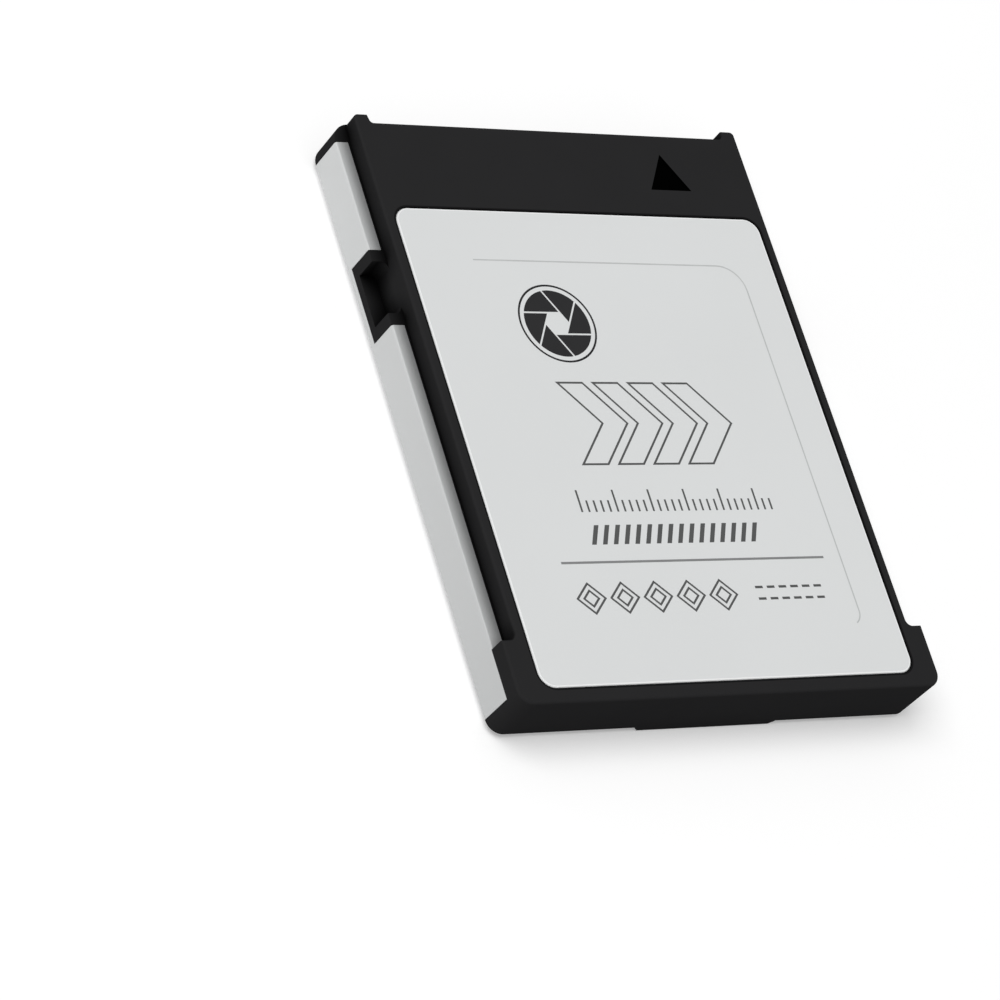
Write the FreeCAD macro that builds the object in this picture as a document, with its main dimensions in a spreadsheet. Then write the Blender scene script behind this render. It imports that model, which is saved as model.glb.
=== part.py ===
import FreeCAD, Part
import math
import os
import Sketcher

# A flat memory card: a moulded frame, wrapped at the back and sides by a folded metal shell, with a metal
# plate set into its front, a receptacle in its end and a populated circuit board inside.
#
# The card lies on its back. X runs across it, Y runs along it from the tail to the connector end, and Z
# rises from its back to its front. The origin is under the middle of the card, at the foot of the nail ridge.
# Most pieces are drawn in the card's own frame, whose Y starts at the tail edge and whose Z starts at the
# back face.

# The driving dimensions in millimetres: name, value and meaning.
SIZES = (
    ("card_length", 38.5, "tail edge to connector edge"),
    ("card_width", 29.6, "across the guide rails"),
    ("card_thickness", 3.8, "back face to front face"),
    ("rail_height", 2.6, "back face to the front of the guide rails"),
    ("rail_step", 1.0, "width of each guide rail beside the raised front body"),
    ("wing_length", 4.0, "length of the full-width tail"),
    ("wing_root_radius", 0.4, "fillet where a tail wing meets the raised body"),
    ("tail_corner_radius", 0.95, "upright corners at the tail"),
    ("nose_corner_radius", 1.25, "upright corners at the connector end"),
    ("front_edge_radius", 0.15, "rounding round the front face"),
    ("ear_width", 0.95, "width of each ear at the front of the connector end"),
    ("ear_setback", 0.57, "how far the front wall stands back between the ears"),
    ("ear_flare", 0.1, "slope of an ear's inner side"),
    ("ear_root_radius", 0.25, "fillet where an ear meets the front wall"),
    ("ear_corner_radius", 0.3, "upright outer corner of an ear"),
    ("tail_cap", 0.95, "tail edge to the shell"),
    ("nose_cap", 1.27, "shell to the connector edge"),
    ("cap_edge_radius", 0.1, "rounding round the back of both end caps"),
    ("ridge_width", 9.9, "nail ridge, across its foot"),
    ("ridge_height", 0.4, "nail ridge, proud of the back face"),
    ("ridge_slope", 0.4, "slope of the nail ridge's ends"),
    ("ridge_edge_radius", 0.12, "rounding along the nail ridge"),
    ("sheet_thickness", 0.25, "metal sheet of the shell"),
    ("sheet_bend", 0.07, "inner radius of the shell's folds"),
    ("fold_edge_radius", 0.12, "outer edge of the shell's folds, which are struck sharp"),
    ("flange_width", 0.86, "flange that lies on each guide rail"),
    ("shell_gap", 0.03, "play between shell and frame"),
    ("notch_from_nose", 11.17, "connector edge to the middle of a side notch"),
    ("notch_length", 3.47, "length of a side notch"),
    ("notch_depth", 1.0, "depth of a side notch"),
    ("notch_floor", 1.0, "back face to the floor of a side notch"),
    ("notch_corner_radius", 0.5, "inner corners of a side notch"),
    ("shell_cut_length", 5.05, "length of the shell's cut at a side notch"),
    ("shell_strip", 0.46, "shell left standing under its cut"),
    ("side_border", 0.68, "frame beside the front plate"),
    ("tail_border", 0.95, "frame between the tail edge and the front plate"),
    ("front_band", 6.45, "frame between the front plate and the connector edge"),
    ("plate_thickness", 0.4, "front plate"),
    ("plate_corner_radius", 1.0, "corners of the front plate"),
    ("plate_edge", 0.06, "chamfer round the front plate"),
    ("plate_gap", 0.05, "play round the front plate"),
    ("adhesive_thickness", 0.1, "adhesive film under the front plate"),
    ("side_ledge", 0.9, "ledge under each side of the front plate"),
    ("end_ledge", 1.5, "ledge under each end of the front plate"),
    ("arrow_offset", 7.45, "middle of the insertion arrow from the card's middle"),
    ("arrow_width", 3.0, "insertion arrow across its foot"),
    ("arrow_length", 2.58, "insertion arrow, foot to tip"),
    ("arrow_from_plate", 1.9, "front plate to the arrow's foot"),
    ("arrow_depth", 0.15, "recess of the insertion arrow"),
    ("tool_radius", 0.5, "upright inside corners of the mould"),
    ("board_thickness", 0.6, "circuit board"),
    ("board_lip", 0.6, "how far the board reaches under the frame's ledge"),
    ("board_gap", 0.08, "play round the circuit board"),
    ("film_thickness", 0.1, "insulating film on the shell"),
    ("film_gap", 0.3, "inset of the insulating film from the cavity's walls"),
    ("nose_wall", 1.25, "connector edge to the face of the connector housing"),
    ("housing_length", 4.8, "connector housing, along the card"),
    ("housing_roof", 0.3, "connector housing in front of its opening"),
    ("housing_back_wall", 0.85, "rear wall of the connector housing"),
    ("mouth_side", 2.75, "side of the card to the receptacle mouth"),
    ("mouth_floor", 0.85, "back face to the foot of the mouth"),
    ("mouth_height", 2.0, "receptacle mouth, back to front"),
    ("mouth_lead", 0.25, "lead-in chamfer of the mouth"),
    ("blade_inset", 0.15, "housing's opening inside the frame's mouth"),
    ("contact_count", 18, "contacts in the row"),
    ("contact_margin", 1.7, "side of the housing's opening to the middle of the first contact"),
    ("contact_width", 0.7, "width of a contact"),
    ("contact_thickness", 0.15, "thickness of a contact"),
    ("contact_tip_gap", 0.25, "contact tip behind the housing's face"),
    ("contact_rise_gap", 0.1, "housing's rear to the rise of a contact"),
    ("contact_tail", 1.0, "soldered tail of a contact"),
    ("arm_width", 1.5, "arms of the housing that carry the board's corners"),
    ("arm_length", 1.8, "reach of those arms behind the housing"),
    ("post_radius", 0.4, "locating posts on the arms"),
    ("post_height", 0.5, "locating posts above the arms"),
    ("post_gap", 0.05, "play round a locating post"),
    ("chip_height", 0.8, "controller and flash chips"),
    ("flash_margin", 1.1, "side of the window to a flash chip"),
    ("flash_gap", 2.24, "between the two flash chips of a row"),
    ("row_margin", 2.0, "end of the window to a row of chips"),
    ("row_gap", 2.1, "between the two rows of chips"),
    ("controller_side", 9.0, "controller chip, square"),
    ("pin_mark_radius", 0.35, "dimple at a chip's first contact"),
    ("pin_mark_depth", 0.05, "depth of that dimple"),
    ("pin_mark_inset", 0.9, "middle of that dimple from the chip's edges"),
    ("regulator_side", 3.0, "power regulator, square"),
    ("regulator_height", 0.75, "power regulator"),
    ("switch_side", 2.0, "load switch, square"),
    ("switch_height", 0.6, "load switch"),
    ("inductor_width", 2.0, "inductor across the card"),
    ("inductor_length", 2.5, "inductor along the card"),
    ("inductor_height", 0.85, "inductor"),
    ("inductor_pitch", 2.6, "spacing of the inductors"),
    ("bulk_length", 3.2, "bulk capacitor across the card"),
    ("bulk_width", 1.6, "bulk capacitor along the card"),
    ("bulk_height", 0.85, "bulk capacitor"),
    ("bulk_pitch", 2.2, "spacing of the bulk capacitors"),
    ("bypass_length", 1.0, "bypass capacitor along the card"),
    ("bypass_width", 0.5, "bypass capacitor across the card"),
    ("bypass_height", 0.5, "bypass capacitor"),
    ("bypass_pitch", 1.2, "spacing of the bypass capacitors"),
    ("resistor_length", 1.0, "resistor along the card"),
    ("resistor_width", 0.5, "resistor across the card"),
    ("resistor_height", 0.35, "resistor"),
    ("resistor_pitch", 1.2, "spacing of the resistors"),
    ("crystal_width", 2.0, "clock crystal across the card"),
    ("crystal_length", 1.6, "clock crystal along the card"),
    ("crystal_height", 0.5, "clock crystal"),
    ("cap_length", 0.25, "metal end of a capacitor or resistor"),
    ("cap_proud", 0.02, "how far a metal end stands proud"),
    ("part_spacing", 0.7, "gap between small parts on the board"),
)

# Counts of like parts.
INDUCTOR_COUNT = 2
BULK_COUNT = 2
BYPASS_COUNT = 8
RESISTOR_COUNT = 7

# How close two lengths are for the search of edges, and how far a cut runs past the solid.
NEAR = 1e-4
BEYOND = 1.0

doc = FreeCAD.newDocument("memory_card")
sheet = doc.addObject("Spreadsheet::Sheet", "card")
for line, (alias, size, meaning) in enumerate(SIZES, 1):
    sheet.set(f"A{line}", alias.replace("_", " "))
    sheet.set(f"B{line}", str(size))
    sheet.setAlias(f"B{line}", alias)
    sheet.set(f"C{line}", meaning)
doc.recompute()

# Places that several pieces share, as expressions of the sheet's cells in the card's own frame.
EDGE = "card.card_width / 2"
RAISED = f"({EDGE} - card.rail_step)"
FRONT = "card.card_thickness"
NOSE = "card.card_length"
FRONT_WALL = f"({NOSE} - card.ear_setback)"
SHELL_START = "card.tail_cap"
SHELL_END = f"({NOSE} - card.nose_cap)"
EAR_INSIDE = f"({RAISED} - card.ear_width)"
EAR_FOOT = f"({EAR_INSIDE} - card.ear_flare)"
RAIL_SIDE = f"({EDGE} - card.sheet_thickness - card.shell_gap)"
FLANGE_EDGE = f"({EDGE} - card.flange_width)"
FLANGE_SEAT = "(card.rail_height - card.sheet_thickness)"
RAIL_BEVEL = "(card.sheet_bend + card.shell_gap)"
NOTCH_MIDDLE = f"({NOSE} - card.notch_from_nose)"
PLATE_SIDE = f"({RAISED} - card.side_border)"
PLATE_START = "card.tail_border"
PLATE_END = f"({NOSE} - card.front_band)"
PLATE_BACK = f"({FRONT} - card.plate_thickness)"
LEDGE = f"({PLATE_BACK} - card.adhesive_thickness)"
ARROW_FOOT = f"({PLATE_END} + card.arrow_from_plate)"
WINDOW_SIDE = f"({PLATE_SIDE} - card.side_ledge)"
WINDOW_START = f"({PLATE_START} + card.end_ledge)"
WINDOW_END = f"({PLATE_END} - card.end_ledge)"
FILM_TOP = "(card.sheet_thickness + card.film_thickness)"
INNER_HEIGHT = f"({PLATE_BACK} - {FILM_TOP})"
THERMAL_PAD = f"(({INNER_HEIGHT} - card.board_thickness) / 2 - card.chip_height)"
BOARD_UNDER = f"({FILM_TOP} + {THERMAL_PAD} + card.chip_height)"
BOARD_TOP = f"({BOARD_UNDER} + card.board_thickness)"
BOARD_SIDE = f"({WINDOW_SIDE} + card.board_lip)"
BOARD_START = f"({WINDOW_START} - card.board_lip)"
HOUSING_FACE = f"({NOSE} - card.nose_wall)"
HOUSING_REAR = f"({HOUSING_FACE} - card.housing_length)"
BOARD_END = f"({HOUSING_REAR} - 2 * card.board_gap)"
CAVITY_SIDE = f"({BOARD_SIDE} + card.board_gap)"
CAVITY_START = f"({BOARD_START} - card.board_gap)"
BOARD_CORNER = "(card.tool_radius - card.board_gap)"
MOUTH_SIDE = f"({EDGE} - card.mouth_side)"
MOUTH_TOP = "(card.mouth_floor + card.mouth_height)"
BLADE_SIDE = f"({MOUTH_SIDE} - card.blade_inset)"
BLADE_FLOOR = "(card.mouth_floor + card.blade_inset)"
BLADE_TOP = f"({MOUTH_TOP} - card.blade_inset)"
HOUSING_TOP = f"({BLADE_TOP} + card.housing_roof)"
CONTACT_UNDER = f"({BLADE_FLOOR} - card.contact_thickness)"
CONTACT_TIP = f"({HOUSING_FACE} - card.contact_tip_gap)"
FIRST_CONTACT = f"({BLADE_SIDE} - card.contact_margin)"
CONTACT_PITCH = f"(2 * {FIRST_CONTACT} / (card.contact_count - 1))"
POST_X = f"({BOARD_SIDE} - card.arm_width / 2)"
POST_Y = f"({HOUSING_REAR} - card.arm_length / 2)"

# The chips stand in two rows. The flash chips fill what the gaps and the controller leave of the window.
FLASH_WIDTH = f"({WINDOW_SIDE} - card.flash_margin - card.flash_gap / 2)"
FLASH_X = f"(({FLASH_WIDTH} + card.flash_gap) / 2)"
ROWS = f"({WINDOW_END} - {WINDOW_START} - 2 * card.row_margin - card.row_gap)"
FLASH_LENGTH = f"({ROWS} - card.controller_side)"
FLASH_Y = f"({WINDOW_START} + card.row_margin + {FLASH_LENGTH} / 2)"
CONTROLLER_Y = f"({WINDOW_END} - card.row_margin - card.controller_side / 2)"
COLUMN_X = f"(({WINDOW_SIDE} + card.controller_side / 2) / 2)"


def value(expression):
    """The present size of an expression, in millimetres."""
    return float(sheet.evalExpression(expression))


def new_body(name, x="0", y="0", z="0"):
    """An empty sub-part whose frame stands at x, y, z in the card's own frame."""
    body = doc.addObject("PartDesign::Body", name)
    body.Label = name
    body.AllowCompound = True
    body.setExpression("Placement.Base.x", x)
    body.setExpression("Placement.Base.y", f"{y} - {NOSE} / 2")
    body.setExpression("Placement.Base.z", f"{z} + card.ridge_height")
    return body


def origin(body, role):
    """One of the sub-part's own origin planes or axes."""
    return next(item for item in body.Origin.OriginFeatures if item.Role == role)


def new_sketch(body, name, plane, offset="0"):
    """A sketch on one of the sub-part's origin planes, moved along the plane's normal by an expression."""
    sketch = body.newObject("Sketcher::SketchObject", f"{body.Name}_{name}")
    sketch.AttachmentSupport = [(origin(body, plane), "")]
    sketch.MapMode = "FlatFace"
    sketch.setExpression("AttachmentOffset.Base.z", offset)
    return sketch


def bind(sketch, kind, *where, to):
    """One driving constraint, bound to an expression."""
    number = sketch.addConstraint(Sketcher.Constraint(kind, *where, value(to)))
    sketch.setExpression(f"Constraints[{number}]", to)


def outline(sketch, corners):
    """A closed outline of straight lines, whose corners are pairs of expressions."""
    points = [FreeCAD.Vector(value(across), value(along), 0) for across, along in corners]
    first = sketch.GeometryCount
    last = first + len(points) - 1
    for start, end in zip(points, points[1:] + points[:1]):
        sketch.addGeometry(Part.LineSegment(start, end), False)
    for number, (across, along) in enumerate(corners, first):
        following = number + 1 if number < last else first
        sketch.addConstraint(Sketcher.Constraint("Coincident", number, 2, following, 1))
        bind(sketch, "DistanceX", -1, 1, number, 1, to=across)
        bind(sketch, "DistanceY", -1, 1, number, 1, to=along)


def mirror(corners):
    """The same corners on the other side of the card's middle."""
    return [(f"-({across})", along) for across, along in reversed(corners)]


def rectangle(sketch, left, right, near, far):
    """A closed rectangle between four expressions."""
    outline(sketch, [(left, near), (right, near), (right, far), (left, far)])


def centred(sketch, side, near, far):
    """A rectangle that reaches as far to the left of the middle as to its right."""
    rectangle(sketch, f"-({side})", side, near, far)


def rounded(sketch, side, near, far, radius, middle="0", near_radius=None):
    """A rectangle with round corners, alike unless near_radius sets the near two, about its middle."""
    left, right = f"{middle} - ({side})", f"{middle} + {side}"
    x0, x1, y0, y1 = (value(place) for place in (left, right, near, far))
    radii = (near_radius or radius, radius, radius, near_radius or radius)
    tail, nose = value(radii[0]), value(radius)
    first = sketch.GeometryCount
    runs = (
        ((x0 + tail, y0), (x1 - tail, y0), (x1 - tail, y0 + tail), tail, -90),
        ((x1, y0 + tail), (x1, y1 - nose), (x1 - nose, y1 - nose), nose, 0),
        ((x1 - nose, y1), (x0 + nose, y1), (x0 + nose, y1 - nose), nose, 90),
        ((x0, y1 - nose), (x0, y0 + tail), (x0 + tail, y0 + tail), tail, 180),
    )
    for start, end, centre, bend, angle in runs:
        arc = Part.Circle(FreeCAD.Vector(*centre), FreeCAD.Vector(0, 0, 1), bend)
        turn = (math.radians(angle), math.radians(angle + 90))
        sketch.addGeometry(Part.LineSegment(FreeCAD.Vector(*start), FreeCAD.Vector(*end)), False)
        sketch.addGeometry(Part.ArcOfCircle(arc, *turn), False)
    for corner, bend in enumerate(radii):
        number = first + 2 * corner
        following = first + 2 * ((corner + 1) % len(radii))
        sketch.addConstraint(Sketcher.Constraint("Tangent", number, 2, number + 1, 1))
        sketch.addConstraint(Sketcher.Constraint("Tangent", number + 1, 2, following, 1))
        bind(sketch, "Radius", number + 1, to=bend)
    for number, kind, place in (
        (first, "DistanceY", near),
        (first + 2, "DistanceX", right),
        (first + 4, "DistanceY", far),
        (first + 6, "DistanceX", left),
    ):
        level = "Horizontal" if kind == "DistanceY" else "Vertical"
        sketch.addConstraint(Sketcher.Constraint(level, number))
        bind(sketch, kind, -1, 1, number, 1, to=place)


def circle(sketch, across, along, radius):
    """A circle whose middle and radius are expressions."""
    middle = FreeCAD.Vector(value(across), value(along), 0)
    number = sketch.addGeometry(Part.Circle(middle, FreeCAD.Vector(0, 0, 1), value(radius)), False)
    bind(sketch, "DistanceX", -1, 1, number, 3, to=across)
    bind(sketch, "DistanceY", -1, 1, number, 3, to=along)
    bind(sketch, "Radius", number, to=radius)


def finished(feature):
    """The feature after its first computation, which has to give a sound solid."""
    doc.recompute()
    if feature.Shape.isNull() or not feature.Shape.isValid():
        raise RuntimeError(f"{feature.Name} has no sound shape")
    return feature


def pad(body, sketch, length, reverse=False):
    """Material along the sketch's normal, or against it."""
    feature = body.newObject("PartDesign::Pad", f"{sketch.Name}_pad")
    feature.Profile = sketch
    feature.setExpression("Length", length)
    feature.Reversed = reverse
    return finished(feature)


def pocket(body, sketch, depth, along_normal):
    """A cut along the sketch's normal, or against it, that has to take material away."""
    before = body.Tip.Shape.Volume
    feature = body.newObject("PartDesign::Pocket", f"{sketch.Name}_pocket")
    feature.Profile = sketch
    feature.setExpression("Length", depth)
    feature.Reversed = along_normal
    finished(feature)
    if feature.Shape.Volume >= before:
        raise RuntimeError(f"{feature.Name} cuts nothing")
    return feature


def edges(feature, x=None, y=None, z=None):
    """Names of the edges that lie wholly at the given places, each an expression or None."""
    wanted = [place if place is None else value(place) for place in (x, y, z)]
    names = []
    for number, edge in enumerate(feature.Shape.Edges, 1):
        box = edge.BoundBox
        spans = ((box.XMin, box.XMax), (box.YMin, box.YMax), (box.ZMin, box.ZMax))
        at = all(
            place is None or (abs(low - place) < NEAR and abs(high - place) < NEAR)
            for place, (low, high) in zip(wanted, spans)
        )
        if at:
            names.append(f"Edge{number}")
    return names


def both_sides(feature, x, **places):
    """Names of the edges at the given places on the right and on the left of the card's middle."""
    return edges(feature, x=x, **places) + edges(feature, x=f"-({x})", **places)


def round_edges(body, name, names, radius):
    """A fillet on the named edges of the sub-part's present shape."""
    base = body.Tip
    feature = body.newObject("PartDesign::Fillet", f"{body.Name}_{name}")
    feature.Base = (base, names)
    feature.setExpression("Radius", radius)
    return finished(feature)


def bevel_edges(body, name, names, size):
    """A chamfer on the named edges of the sub-part's present shape."""
    base = body.Tip
    feature = body.newObject("PartDesign::Chamfer", f"{body.Name}_{name}")
    feature.Base = (base, names)
    feature.setExpression("Size", size)
    return finished(feature)


def row(body, name, originals, axis, count, pitch):
    """Like features in a row, with a fixed spacing."""
    feature = body.newObject("PartDesign::LinearPattern", f"{body.Name}_{name}")
    feature.Originals = originals
    feature.Direction = (origin(body, axis), [""])
    feature.Mode = "Spacing"
    feature.setExpression("Occurrences", str(count))
    feature.setExpression("Offset", pitch)
    body.Tip = feature
    return finished(feature)


def build_frame():
    """The moulded frame, with its guide rails, end caps, window, notches, receptacle mouth and nail ridge."""
    body = new_body("frame")
    edge_gap = f"({FLANGE_EDGE} - card.shell_gap)"
    outside = f"({EDGE} + {BEYOND})"
    ahead = f"({NOSE} + {BEYOND})"
    above_rails = f"{FRONT} - card.rail_height"

    # The raised body, which widens into two wings at the tail.
    sketch = new_sketch(body, "raised_body", "XY_Plane", "card.rail_height")
    side = [(EDGE, "0"), (EDGE, "card.wing_length"), (RAISED, "card.wing_length"), (RAISED, NOSE)]
    outline(sketch, side + mirror(side))
    raised = pad(body, sketch, above_rails)
    raised = round_edges(body, "tail_corners", both_sides(raised, EDGE, y="0"), "card.tail_corner_radius")
    round_edges(body, "wing_roots", both_sides(raised, RAISED, y="card.wing_length"), "card.wing_root_radius")

    # Its front wall, set back between two ears.
    sketch = new_sketch(body, "ears", "XY_Plane", FRONT)
    ear = [(EAR_FOOT, FRONT_WALL), (EAR_INSIDE, NOSE), (EAR_INSIDE, ahead)]
    outline(sketch, ear + mirror(ear))
    ears = pocket(body, sketch, above_rails, along_normal=False)
    ears = round_edges(body, "ear_roots", both_sides(ears, EAR_FOOT, y=FRONT_WALL), "card.ear_root_radius")
    round_edges(body, "ear_corners", both_sides(ears, RAISED, y=NOSE), "card.ear_corner_radius")

    # The block under it, as high as the guide rails, and the rounding of both faces' outer edges.
    sketch = new_sketch(body, "rails", "XY_Plane")
    rounded(sketch, EDGE, "0", NOSE, "card.nose_corner_radius", near_radius="card.tail_corner_radius")
    block = pad(body, sketch, "card.rail_height")
    block = round_edges(body, "front_edge", edges(block, z=FRONT), "card.front_edge_radius")
    round_edges(body, "cap_edge", edges(block, z="0"), "card.cap_edge_radius")

    # The seat of the folded shell round the back and the sides.
    sketch = new_sketch(body, "shell_seat", "XZ_Plane", f"card.shell_gap - {SHELL_START}")
    seat = [
        (f"{RAIL_SIDE} - {RAIL_BEVEL}", "card.sheet_thickness"),
        (RAIL_SIDE, f"card.sheet_thickness + {RAIL_BEVEL}"),
        (RAIL_SIDE, f"{FLANGE_SEAT} - {RAIL_BEVEL}"),
        (f"{RAIL_SIDE} - {RAIL_BEVEL}", FLANGE_SEAT),
        (edge_gap, FLANGE_SEAT),
        (edge_gap, "card.rail_height"),
        (outside, "card.rail_height"),
        (outside, f"-{BEYOND}"),
    ]
    outline(sketch, seat + mirror(seat))
    pocket(body, sketch, f"{SHELL_END} - {SHELL_START} + 2 * card.shell_gap", along_normal=False)

    # The frame fills each cut of the shell flush, and the side notch is sunk into that filling.
    sketch = new_sketch(body, "notch_fill", "XY_Plane", "card.shell_strip + card.shell_gap")
    reach = "(card.shell_cut_length / 2 - card.shell_gap)"
    near, far = f"{NOTCH_MIDDLE} - {reach}", f"{NOTCH_MIDDLE} + {reach}"
    fill = [(edge_gap, near), (EDGE, near), (EDGE, far), (edge_gap, far)]
    outline(sketch, fill)
    outline(sketch, mirror(fill))
    pad(body, sketch, "card.rail_height - card.shell_strip - card.shell_gap")
    sketch = new_sketch(body, "notches", "XY_Plane", "card.notch_floor")
    notch = (
        f"(card.notch_depth + {BEYOND}) / 2",
        f"{NOTCH_MIDDLE} - card.notch_length / 2",
        f"{NOTCH_MIDDLE} + card.notch_length / 2",
        "card.notch_corner_radius",
    )
    notch_centre = f"({EDGE} + ({BEYOND} - card.notch_depth) / 2)"
    rounded(sketch, *notch, middle=notch_centre)
    rounded(sketch, *notch, middle=f"-{notch_centre}")
    pocket(body, sketch, "card.rail_height - card.notch_floor", along_normal=True)

    # The recess of the front plate, the window under it and the insertion arrow.
    sketch = new_sketch(body, "plate_recess", "XY_Plane", FRONT)
    rounded(
        sketch,
        f"{PLATE_SIDE} + card.plate_gap",
        f"{PLATE_START} - card.plate_gap",
        f"{PLATE_END} + card.plate_gap",
        "card.plate_corner_radius + card.plate_gap",
    )
    pocket(body, sketch, f"{FRONT} - {LEDGE}", along_normal=False)
    sketch = new_sketch(body, "window", "XY_Plane", LEDGE)
    rounded(sketch, WINDOW_SIDE, WINDOW_START, WINDOW_END, "card.tool_radius")
    pocket(body, sketch, f"{LEDGE} - {BOARD_TOP}", along_normal=False)
    sketch = new_sketch(body, "arrow", "XY_Plane", FRONT)
    half = "card.arrow_width / 2"
    outline(sketch, [
        (f"card.arrow_offset - {half}", ARROW_FOOT),
        (f"card.arrow_offset + {half}", ARROW_FOOT),
        ("card.arrow_offset", f"{ARROW_FOOT} + card.arrow_length"),
    ])
    pocket(body, sketch, "card.arrow_depth", along_normal=False)

    # The cavity that takes the board and the connector housing from the back, and the mouth in the end.
    sketch = new_sketch(body, "cavity", "XY_Plane")
    rounded(sketch, CAVITY_SIDE, CAVITY_START, HOUSING_FACE, "card.tool_radius")
    pocket(body, sketch, BOARD_TOP, along_normal=True)
    sketch = new_sketch(body, "connector_bay", "XY_Plane")
    rounded(sketch, CAVITY_SIDE, f"{HOUSING_REAR} - card.board_gap", HOUSING_FACE, "card.tool_radius")
    pocket(body, sketch, HOUSING_TOP, along_normal=True)
    sketch = new_sketch(body, "mouth", "XZ_Plane", f"-{NOSE}")
    centred(sketch, MOUTH_SIDE, "card.mouth_floor", MOUTH_TOP)
    mouth = pocket(body, sketch, "card.nose_wall", along_normal=True)
    lead = edges(mouth, y=NOSE, z="card.mouth_floor") + both_sides(mouth, MOUTH_SIDE, y=NOSE)
    bevel_edges(body, "mouth_lead", lead, "card.mouth_lead")

    # The nail ridge across the tail cap.
    sketch = new_sketch(body, "ridge", "XZ_Plane")
    ridge_foot = "card.ridge_width / 2"
    side = [
        (ridge_foot, "card.cap_edge_radius"),
        (ridge_foot, "0"),
        (f"{ridge_foot} - card.ridge_slope", "-card.ridge_height"),
    ]
    outline(sketch, side + mirror(side))
    ridge = pad(body, sketch, "card.tail_cap", reverse=True)
    round_edges(body, "ridge_edge", edges(ridge, z="-card.ridge_height"), "card.ridge_edge_radius")


def build_back_shell():
    """The folded metal shell: back, two side walls and the flanges that clasp the guide rails."""
    body = new_body("back_shell")
    wall = f"({EDGE} - card.sheet_thickness)"
    outside = f"({EDGE} + {BEYOND})"

    sketch = new_sketch(body, "section", "XZ_Plane", f"-{SHELL_START}")
    half = [
        (wall, "card.sheet_thickness"),
        (wall, FLANGE_SEAT),
        (FLANGE_EDGE, FLANGE_SEAT),
        (FLANGE_EDGE, "card.rail_height"),
        (EDGE, "card.rail_height"),
        (EDGE, "0"),
    ]
    outline(sketch, half + mirror(half))
    folded = pad(body, sketch, f"{SHELL_END} - {SHELL_START}", reverse=True)
    inner = both_sides(folded, wall, z="card.sheet_thickness") + both_sides(folded, wall, z=FLANGE_SEAT)
    folded = round_edges(body, "inner_folds", inner, "card.sheet_bend")
    outer = both_sides(folded, EDGE, z="0") + both_sides(folded, EDGE, z="card.rail_height")
    round_edges(body, "outer_folds", outer, "card.fold_edge_radius")

    sketch = new_sketch(body, "notch_cuts", "XY_Plane", "card.shell_strip")
    near = f"{NOTCH_MIDDLE} - card.shell_cut_length / 2"
    far = f"{NOTCH_MIDDLE} + card.shell_cut_length / 2"
    inside = f"({FLANGE_EDGE} - card.shell_gap)"
    cut = [(inside, near), (outside, near), (outside, far), (inside, far)]
    outline(sketch, cut)
    outline(sketch, mirror(cut))
    pocket(body, sketch, "card.rail_height", along_normal=True)


def build_front_plate():
    """The plate that is set flush into the front of the frame."""
    body = new_body("front_plate")
    sketch = new_sketch(body, "outline", "XY_Plane", PLATE_BACK)
    rounded(sketch, PLATE_SIDE, PLATE_START, PLATE_END, "card.plate_corner_radius")
    plate = pad(body, sketch, "card.plate_thickness")
    bevel_edges(body, "edge", edges(plate, z=FRONT), "card.plate_edge")


def build_plate_adhesive():
    """The ring of adhesive film between the front plate and its ledge."""
    body = new_body("plate_adhesive")
    sketch = new_sketch(body, "ring", "XY_Plane", LEDGE)
    rounded(sketch, PLATE_SIDE, PLATE_START, PLATE_END, "card.plate_corner_radius")
    rounded(sketch, WINDOW_SIDE, WINDOW_START, WINDOW_END, "card.tool_radius")
    pad(body, sketch, "card.adhesive_thickness")


def build_insulating_film():
    """The film that lies on the shell under the board and the connector housing."""
    body = new_body("insulating_film")
    sketch = new_sketch(body, "outline", "XY_Plane", "card.sheet_thickness")
    rounded(
        sketch,
        f"{CAVITY_SIDE} - card.film_gap",
        f"{CAVITY_START} + card.film_gap",
        f"{HOUSING_FACE} - card.film_gap",
        "card.tool_radius",
    )
    pad(body, sketch, "card.film_thickness")


def build_circuit_board():
    """The board, which rests on the housing's arms and seats against the frame's ledge."""
    body = new_body("circuit_board")
    sketch = new_sketch(body, "outline", "XY_Plane", BOARD_UNDER)
    rounded(sketch, BOARD_SIDE, BOARD_START, BOARD_END, BOARD_CORNER)
    circle(sketch, POST_X, POST_Y, "card.post_radius + card.post_gap")
    circle(sketch, f"-{POST_X}", POST_Y, "card.post_radius + card.post_gap")
    pad(body, sketch, "card.board_thickness")


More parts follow.
